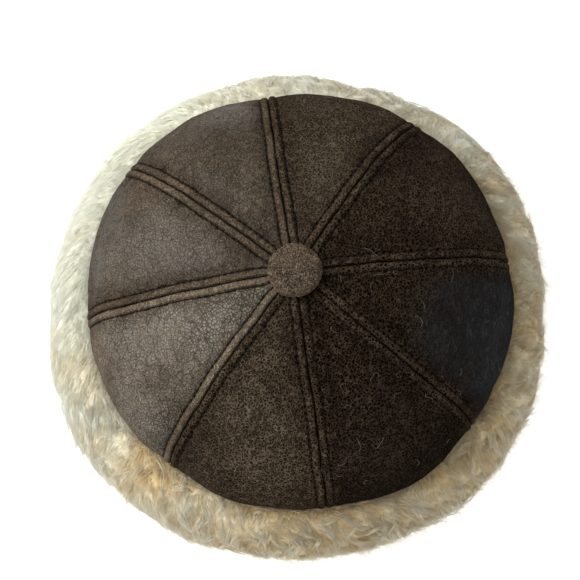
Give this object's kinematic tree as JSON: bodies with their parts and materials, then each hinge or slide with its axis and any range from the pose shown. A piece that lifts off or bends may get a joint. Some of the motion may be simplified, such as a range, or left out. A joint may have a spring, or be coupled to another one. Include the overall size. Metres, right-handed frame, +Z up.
{
  "type": "leather beanie with a shearling cuff",
  "caption": "Rounded beanie of seamed brown leather panels under a covered top button, with a turned-up cream shearling cuff and an open hollow for the head.",
  "frame": {"origin": "middle of the ring on which the cuff rests, on the surface that it stands on", "axes": "+Z up through the covered button, -Y towards the front, +X towards the right of the picture"},
  "size_m": [0.2448, 0.245, 0.1272],
  "materials": {
    "crown_leather": "worn, finely cracked matt leather",
    "button_leather": "napped, suede-like",
    "shearling_wool": "dense soft wool pile"
  },
  "bodies": {
    "root": {"crown_panel_1": "crown_leather", "crown_panel_2": "crown_leather", "crown_panel_3": "crown_leather", "crown_panel_4": "crown_leather", "crown_panel_5": "crown_leather", "crown_panel_6": "crown_leather", "crown_panel_7": "crown_leather", "crown_panel_8": "crown_leather", "shearling_cuff": "shearling_wool", "top_button": "button_leather"}
  },
  "joints": []
}
